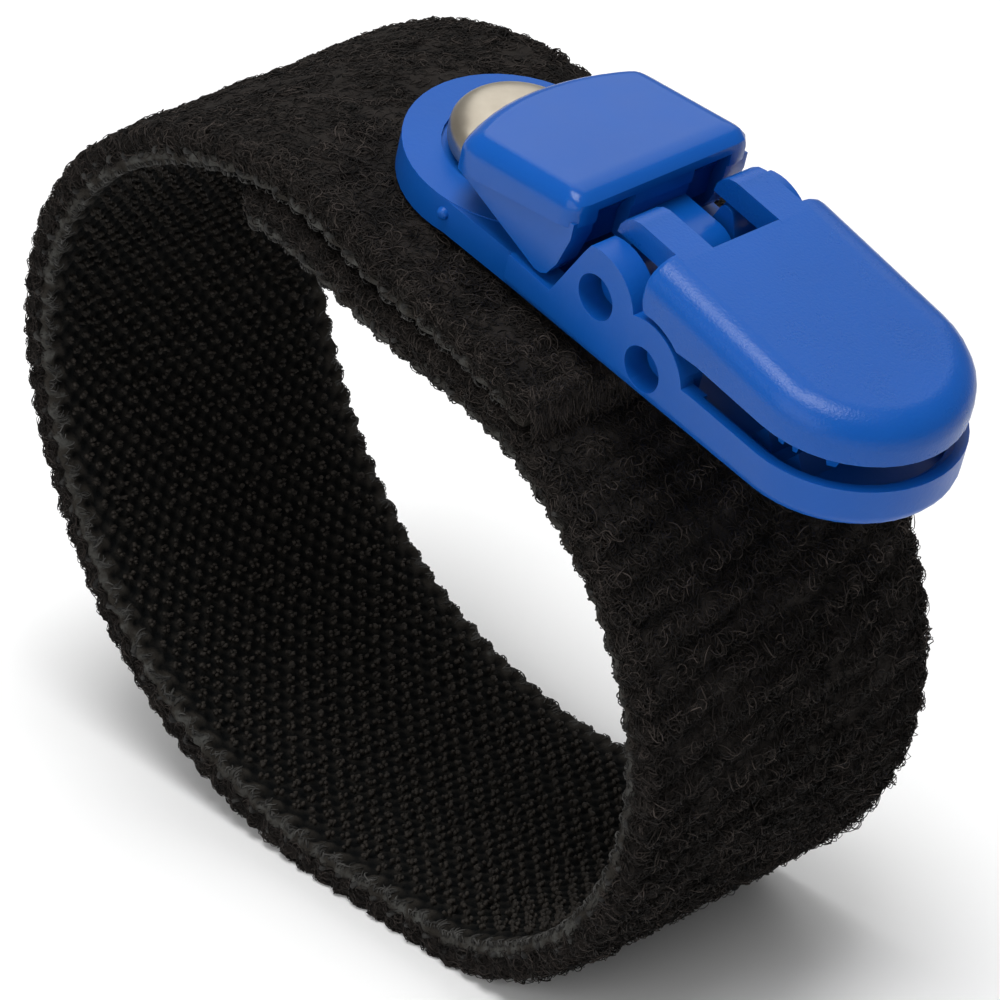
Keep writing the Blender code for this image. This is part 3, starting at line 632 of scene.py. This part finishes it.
def hooks(material):
    """Rows of woven hooks: four tips to a cell, and every other row half a cell across."""
    rows = int(BAND_LENGTH / (PITCH / 2))
    hidden = at_travel(HOOKS_HIDDEN)
    sets = []
    for row in range(rows):
        s_row = (row + 0.5) * PITCH / 2
        y_row = (np.arange(-9, 10) + 0.5 * (row % 2)) * HOOK_ACROSS
        y_row = y_row[np.abs(y_row) < BAND_HALF - 1.7 * MM]
        if s_row > hidden:
            y_row = y_row[np.abs(y_row) > 9.0 * MM]
        for ds, dy, lean in HOOK_TIPS:
            along = np.full(len(y_row), s_row + ds * MM)
            sets.append(np.stack((along, y_row + dy * MM, np.full(len(y_row), lean)), axis=1))
    cells = np.concatenate(sets)
    n = len(cells)
    s0 = cells[:, 0] + RNG.normal(0.0, 0.045 * MM, n)
    y0 = cells[:, 1] + RNG.normal(0.0, 0.045 * MM, n)
    lean = cells[:, 2] * RNG.normal(1.0, 0.2, n)
    tall = (0.5 + 0.14 * RNG.random(n)) * MM
    profile_s = np.array((0.0, 0.02, 0.05, 0.15, 0.29, 0.38))
    profile_h = np.array((-0.15, 0.45, 0.85, 1.0, 0.9, 0.66))
    tilt = RNG.normal(0.0, 0.2, n)
    s = s0[:, None] + lean[:, None] * profile_s[None, :] * MM
    y = y0[:, None] + (tilt[:, None] * profile_h[None, :]) * MM
    layered = np.where((s0 > hidden), 0.45, 1.0)
    h = 0.02 * MM - tall[:, None] * profile_h[None, :] * layered[:, None]
    points = place(s, y, h)
    radii = np.array((0.14, 0.14, 0.14, 0.15, 0.14, 0.10))[None, :] * MM
    radii = radii * (0.85 + 0.3 * RNG.random((n, 1)))
    # Painted shade: each hook darkens towards its root at the web and is lightest near its top.
    painted_tip_light = np.array((0.0, 0.3, 0.75, 1.0, 0.95, 0.7))[None, :]
    shade = (0.34 + 0.3 * RNG.random((n, 1))) * (0.25 + 0.75 * painted_tip_light)
    return tubes("hooks", points, radii, 5, material, shade)


def selvedge_yarns(material, picks):
    """Fine yarns that cross each flat rim and turn up over the edge, shorter beside the pits."""
    n = 2 * picks * 11
    s0 = RNG.random(n) * picks * PITCH
    sides = either_way(n)[:, None]
    between = np.abs(((s0 / PITCH) % 1.0) - 0.5)[:, None] * 2.0
    reach = (0.2 + 0.85 * between) * (0.5 + 0.6 * RNG.random((n, 1))) * MM
    t = np.linspace(0, 1, 7)[None, :]
    along = np.minimum(t / 0.75, 1.0)
    turned_up = np.maximum(t - 0.75, 0.0) / 0.25
    slant = RNG.normal(0.0, 0.4 * MM, (n, 1)) * (1.0 - t)
    slant = slant + RNG.normal(0.0, 0.1 * MM, (n, 1)) * np.sin(5.0 * t)
    s = s0[:, None] + slant
    y = sides * (edge_reach(s) + 0.16 * MM - reach * (1.0 - along))
    h = -RIM_HEIGHT - 0.07 * MM * np.sin(np.pi * along * 0.999) * (1.0 - turned_up)
    h = h + 0.35 * MM * turned_up
    points = place(s, y, h)
    radii = np.full(s.shape, 0.045 * MM) * (0.7 + 0.6 * RNG.random((n, 1)))
    shade = np.clip(RNG.normal(0.45, 0.22, (n, 1)), 0.05, 1) * (1.0 - 0.85 * turned_up)
    return tubes("selvedge_yarns", points, radii, 4, material, shade)


def selvedge_picots(material, picks):
    """A small loop that stands out from each edge at each pick."""
    n = 2 * picks
    k = 12
    starts = np.tile((np.arange(picks) + 0.5) * PITCH, 2) + RNG.normal(0, 0.07 * MM, n)
    sides = np.repeat((-1.0, 1.0), picks)
    a = np.linspace(-0.35, math.pi + 0.35, k)[None, :]
    size = (0.7 + 0.25 * RNG.random((n, 1))) * MM
    s = starts[:, None] - 0.33 * size * np.cos(a) + 0.1 * MM * np.sin(2 * a)
    y = sides[:, None] * (BAND_HALF - 0.02 * MM + 0.5 * size * np.sin(a))
    h = (0.8 + 0.4 * RNG.normal(0, 0.5, (n, 1))) * MM
    h = h + 0.25 * MM * np.cos(a) * RNG.normal(0, 0.6, (n, 1))
    points = place(s, y, h)
    radii = np.full((n, k), 0.19 * MM) * (0.85 + 0.3 * RNG.random((n, 1)))
    shade = np.clip(RNG.normal(0.12, 0.07, (n, 1)), 0.02, 1) * np.ones((n, k))
    return tubes("selvedge_picots", points, radii, 6, material, shade)


def selvedges(material):
    picks = int(BAND_LENGTH / PITCH)
    return [selvedge_yarns(material, picks), selvedge_picots(material, picks)]


# ---------------------------------------------------------------- clip and snap

def soften(node_name, new_name, width, material, segments=3):
    """A copy of a CAD part with its sharp edges rounded, as a mould leaves them."""
    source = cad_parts[node_name]
    mesh_data = bmesh.new()
    mesh_data.from_mesh(source.data)
    bmesh.ops.remove_doubles(mesh_data, verts=mesh_data.verts, dist=2e-6)
    bmesh.ops.dissolve_limit(mesh_data, angle_limit=math.radians(0.8),
                             verts=mesh_data.verts, edges=mesh_data.edges)
    mesh = bpy.data.meshes.new(new_name)
    mesh_data.to_mesh(mesh)
    mesh_data.free()
    item = bpy.data.objects.new(new_name, mesh)
    bpy.context.collection.objects.link(item)
    mesh.shade_smooth()
    bevel = item.modifiers.new("soft_edges", "BEVEL")
    bevel.width = width
    bevel.segments = segments
    bevel.limit_method = "ANGLE"
    bevel.angle_limit = BEVEL_ANGLE
    bevel.miter_outer = "MITER_ARC"
    bevel.use_clamp_overlap = True
    weighted = item.modifiers.new("even_shading", "WEIGHTED_NORMAL")
    weighted.weight = 80
    weighted.keep_sharp = True
    graph = bpy.context.evaluated_depsgraph_get()
    done = bpy.data.meshes.new_from_object(item.evaluated_get(graph))
    item.modifiers.clear()
    item.data = done
    done.materials.clear()
    done.materials.append(material)
    return item


def lathe(name, profile, origin, axis, steps, material):
    """A closed turned shape: a smooth curve through (radius, height) points along the axis."""
    knots = np.array([profile[0]] + list(profile) + [profile[-1]])
    curve = []
    for i in range(len(profile) - 1):
        p0, p1, p2, p3 = knots[i:i + 4]
        for t in np.linspace(0.0, 1.0, 6, endpoint=False):
            curve.append(0.5 * (2 * p1 + (p2 - p0) * t + (2 * p0 - 5 * p1 + 4 * p2 - p3) * t ** 2
                                + (3 * p1 - p0 - 3 * p2 + p3) * t ** 3))
    curve.append(knots[-1])
    curve = np.array(curve) * MM
    side = np.cross(axis, (0.0, 1.0, 0.31))
    side /= np.linalg.norm(side)
    other = np.cross(axis, side)
    turn = 2 * np.pi * np.arange(steps) / steps
    ring = np.cos(turn)[:, None] * side + np.sin(turn)[:, None] * other
    radius = np.maximum(curve[:, 0], 0.01 * MM)
    points = np.array(origin) + radius[:, None, None] * ring[None] + curve[:, 1, None, None] * axis
    index = np.arange(len(curve) * steps).reshape(len(curve), steps)
    after = np.roll(index, -1, axis=1)
    quads = np.stack((index[:-1], index[1:], after[1:], after[:-1]), axis=-1).reshape(-1, 4)
    flat = np.concatenate((quads.ravel(), index[0], index[-1, ::-1]))
    sizes = np.concatenate((np.full(len(quads), 4), (steps, steps)))
    return make_mesh(name, points.reshape(-1, 3), flat, sizes, material)


def build_snap(nickel):
    """The cap, with a smooth dome and a rolled rim, and the metal of the rivet and the backing."""
    cap = lathe("cap_turning", CAP_PROFILE, CLIP_AT, CLIP_Z, 120, nickel)
    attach(cap, "band")
    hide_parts("snap_cap")
    for node_name in ("snap_rivet", "snap_backing"):
        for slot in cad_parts[node_name].material_slots:
            slot.material = nickel


def gate_pip(material):
    """The small round mark on the disc's side where the mould was filled."""
    x, y, z = PIP_AT
    out = x * CLIP_X + np.array((0.0, y, 0.0))
    middle = np.array(CLIP_AT) + out + z * CLIP_Z
    return lathe("gate_pip", PIP_PROFILE, middle, out / np.linalg.norm(out), 32, material)


def build_clip():
    base_blue = plastic_material("base_plastic", BLUE, 0.32, 0.42, 2600.0, 0.00004)
    jaw_blue = plastic_material("jaw_plastic", BLUE, 0.26, 0.34, 5200.0, 0.00007)
    lever_blue = plastic_material("lever_plastic", BLUE, 0.17, 0.26, 1400.0, 0.00002)
    for node_name, new_name, width, finish, body in (
        ("clip_base", "base_moulding", 0.3 * MM, base_blue, "clip"),
        ("clip_jaw", "jaw_moulding", 0.4 * MM, jaw_blue, "jaw"),
        ("clip_lever", "lever_moulding", 0.25 * MM, lever_blue, "lever"),
    ):
        item = soften(node_name, new_name, width, finish)
        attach(item, body)
        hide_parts(node_name)
    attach(gate_pip(base_blue), "clip")


# ---------------------------------------------------------------- stage

def build_floor():
    floor_mesh = bpy.data.meshes.new("studio_floor")
    mesh_data = bmesh.new()
    corners = []
    for x, y in ((-1, -1), (1, -1), (1, 1), (-1, 1)):
        corners.append(mesh_data.verts.new((x * FLOOR_HALF, y * FLOOR_HALF, 0.0)))
    mesh_data.faces.new(corners)
    mesh_data.to_mesh(floor_mesh)
    mesh_data.free()
    floor = bpy.data.objects.new("studio_floor", floor_mesh)
    bpy.context.collection.objects.link(floor)
    pale, _, shader = new_material("studio_floor")
    shader.inputs["Base Color"].default_value = (0.93, 0.93, 0.93, 1.0)
    shader.inputs["Roughness"].default_value = 0.9
    shader.inputs["Specular IOR Level"].default_value = 0.1
    floor_mesh.materials.append(pale)


def build_lights():
    world = bpy.data.worlds.new("studio")
    bpy.context.scene.world = world
    world.use_nodes = True
    world.node_tree.nodes["Background"].inputs[0].default_value = (1.0, 1.0, 1.0, 1.0)
    world.node_tree.nodes["Background"].inputs[1].default_value = 0.30
    aim = Vector((0.0, 0.0, 0.035))
    for name, at, size, power in LAMPS:
        lamp = bpy.data.lights.new(name, "AREA")
        lamp.energy = power
        lamp.size = size
        item = bpy.data.objects.new(name, lamp)
        item.location = at
        item.rotation_euler = (aim - Vector(at)).to_track_quat("-Z", "Y").to_euler()
        bpy.context.collection.objects.link(item)


def build_camera():
    lens = bpy.data.cameras.new("camera")
    lens.lens = 220.4
    lens.sensor_width = 36.0
    lens.clip_start = 0.01
    camera = bpy.data.objects.new("camera", lens)
    camera.location = CAMERA_AT
    camera.rotation_euler = (math.radians(90.0 - CAMERA_DOWN), 0.0, math.radians(CAMERA_TURN))
    bpy.context.collection.objects.link(camera)
    bpy.context.scene.camera = camera
    bpy.context.scene.view_settings.view_transform = "Standard"


build_floor()
build_lights()
build_camera()
build_band()
build_clip()
build_snap(metal_material("nickel_plate"))
